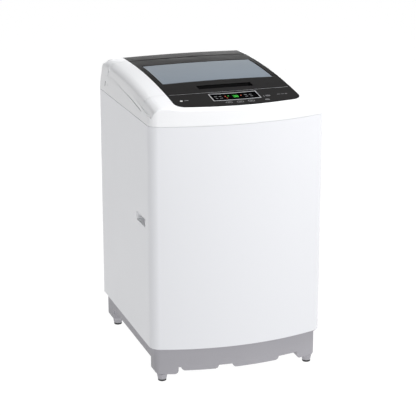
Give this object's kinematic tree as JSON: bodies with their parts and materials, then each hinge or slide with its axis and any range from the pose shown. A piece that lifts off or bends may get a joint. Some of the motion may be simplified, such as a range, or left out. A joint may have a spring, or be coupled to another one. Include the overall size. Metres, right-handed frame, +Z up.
{
  "type": "top load washing machine",
  "caption": "Top load washing machine with a rear-hinged glazed lid, bowed cabinet, suspended tub with spinning basket and pulsator, belt drive, push buttons and levelling feet.",
  "frame": {"origin": "on the floor under the middle of the machine", "axes": "+Z up, -Y to the front, +X to the right as seen from the front"},
  "size_m": [0.54, 0.6, 0.883],
  "materials": {
    "white_paint": "satin",
    "white_plastic": "gloss",
    "inner_plastic": "matt",
    "grey_plastic": "matt",
    "dark_panel": "gloss",
    "dark_plastic": "matt",
    "display_window": "gloss",
    "trim": "satin",
    "buttons": "satin",
    "board": "matt",
    "lid_glass": "gloss",
    "tub_plastic": "matt",
    "ring_plastic": "matt",
    "pulsator_plastic": "gloss",
    "drawer_plastic": "gloss",
    "stainless": "brushed",
    "zinc_plate": "zinc plated",
    "steel": "ground",
    "cast_alloy": "cast",
    "rubber": "matt"
  },
  "bodies": {
    "body": {"cabinet": "white_paint", "rear_cover": "zinc_plate", "base_frame": "grey_plastic", "corner_braces": "zinc_plate", "rod_seats": "dark_plastic", "suspension_rods": "zinc_plate", "suspension_springs": "steel", "side_grips": "white_plastic", "panel_screws": "zinc_plate", "top_cover": "white_plastic", "rear_panel": "dark_panel", "control_panel": "dark_panel", "display_window": "display_window", "display_bezel": "trim", "control_board": "board", "water_valve": "inner_plastic", "detergent_housing": "inner_plastic", "level_sensor": "dark_plastic", "lid_switch": "dark_plastic", "hinge_brackets": "white_plastic", "drain_pump": "dark_plastic", "drain_bellows": "rubber", "drain_outlet": "grey_plastic", "cord_gland": "dark_plastic", "foot_nuts": "zinc_plate"},
    "lid": {"lid_frame": "dark_plastic", "lid_side_trims": "white_plastic", "lid_panel": "dark_panel", "lid_glass": "lid_glass", "lid_handle": "dark_plastic", "lid_hinges": "white_plastic", "hinge_pins": "steel"},
    "drawer": {"detergent_drawer": "drawer_plastic"},
    "programme_button": {"programme_button": "buttons"},
    "water_level_button": {"water_level_button": "buttons"},
    "rinse_button": {"rinse_button": "buttons"},
    "power_button": {"power_button": "buttons"},
    "start_button": {"start_button": "buttons"},
    "tub": {"outer_tub": "tub_plastic", "tub_ring": "tub_plastic", "gearbox_housing": "cast_alloy", "shaft_bearings": "steel", "shaft_seal": "rubber", "motor_housing": "cast_alloy", "drive_belt": "rubber"},
    "basket": {"wash_basket": "stainless", "balance_ring": "ring_plastic", "basket_base": "ring_plastic", "lint_filter": "drawer_plastic", "spin_shaft": "steel"},
    "agitator": {"pulsator": "pulsator_plastic", "pulsator_cap": "trim", "drive_shaft": "steel", "drive_pulley": "cast_alloy"},
    "motor_rotor": {"motor_shaft": "steel", "motor_pulley": "steel"},
    "foot_front_left": {"foot_front_left": "rubber"},
    "foot_front_right": {"foot_front_right": "rubber"},
    "foot_rear_left": {"foot_rear_left": "rubber"},
    "foot_rear_right": {"foot_rear_right": "rubber"}
  },
  "joints": [
    {"name": "lid_hinge", "type": "hinge", "parent": "body", "child": "lid", "pos_m": [0, 0.212, 0.871], "axis": [-1, 0, 0], "range_deg": [0, 98]},
    {"name": "drawer_slide", "type": "slide", "parent": "body", "child": "drawer", "axis": [0, -1, 0], "range_m": [0, 0.07]},
    {"name": "programme_button_press", "type": "slide", "parent": "body", "child": "programme_button", "axis": [0, 0.1687, -0.9857], "range_m": [0, 0.001], "stiffness_N_per_m": 500, "springref_m": -0.001},
    {"name": "water_level_button_press", "type": "slide", "parent": "body", "child": "water_level_button", "axis": [0, 0.1691, -0.9856], "range_m": [0, 0.001], "stiffness_N_per_m": 500, "springref_m": -0.001},
    {"name": "rinse_button_press", "type": "slide", "parent": "body", "child": "rinse_button", "axis": [0, 0.1687, -0.9857], "range_m": [0, 0.001], "stiffness_N_per_m": 500, "springref_m": -0.001},
    {"name": "power_button_press", "type": "slide", "parent": "body", "child": "power_button", "axis": [0, 0.1578, -0.9875], "range_m": [0, 0.001], "stiffness_N_per_m": 500, "springref_m": -0.001},
    {"name": "start_button_press", "type": "slide", "parent": "body", "child": "start_button", "axis": [0, 0.1684, -0.9857], "range_m": [0, 0.001], "stiffness_N_per_m": 500, "springref_m": -0.001},
    {"name": "tub_suspension", "type": "slide", "parent": "body", "child": "tub", "axis": [0, 0, 1], "range_m": [-0.03, 0.01], "stiffness_N_per_m": 9000, "springref_m": 0.02384, "deforming": ["suspension_springs", "drain_bellows"]},
    {"name": "basket_spin", "type": "hinge", "parent": "tub", "child": "basket", "pos_m": [0, 0.012, 0.5], "axis": [0, 0, 1], "continuous": true},
    {"name": "agitator_spin", "type": "hinge", "parent": "tub", "child": "agitator", "pos_m": [0, 0.012, 0.35], "axis": [0, 0, 1], "continuous": true},
    {"name": "motor_spin", "type": "hinge", "parent": "tub", "child": "motor_rotor", "pos_m": [0.125, -0.088, 0.139], "axis": [0, 0, 1], "continuous": true},
    {"name": "foot_front_left_level", "type": "slide", "parent": "body", "child": "foot_front_left", "axis": [0, 0, -1], "range_m": [0, 0.012]},
    {"name": "foot_front_right_level", "type": "slide", "parent": "body", "child": "foot_front_right", "axis": [0, 0, -1], "range_m": [0, 0.012]},
    {"name": "foot_rear_left_level", "type": "slide", "parent": "body", "child": "foot_rear_left", "axis": [0, 0, -1], "range_m": [0, 0.012]},
    {"name": "foot_rear_right_level", "type": "slide", "parent": "body", "child": "foot_rear_right", "axis": [0, 0, -1], "range_m": [0, 0.012]}
  ],
  "couplings": [
    {"joint": "motor_spin", "follows": "agitator_spin", "ratio": 4.369}
  ]
}
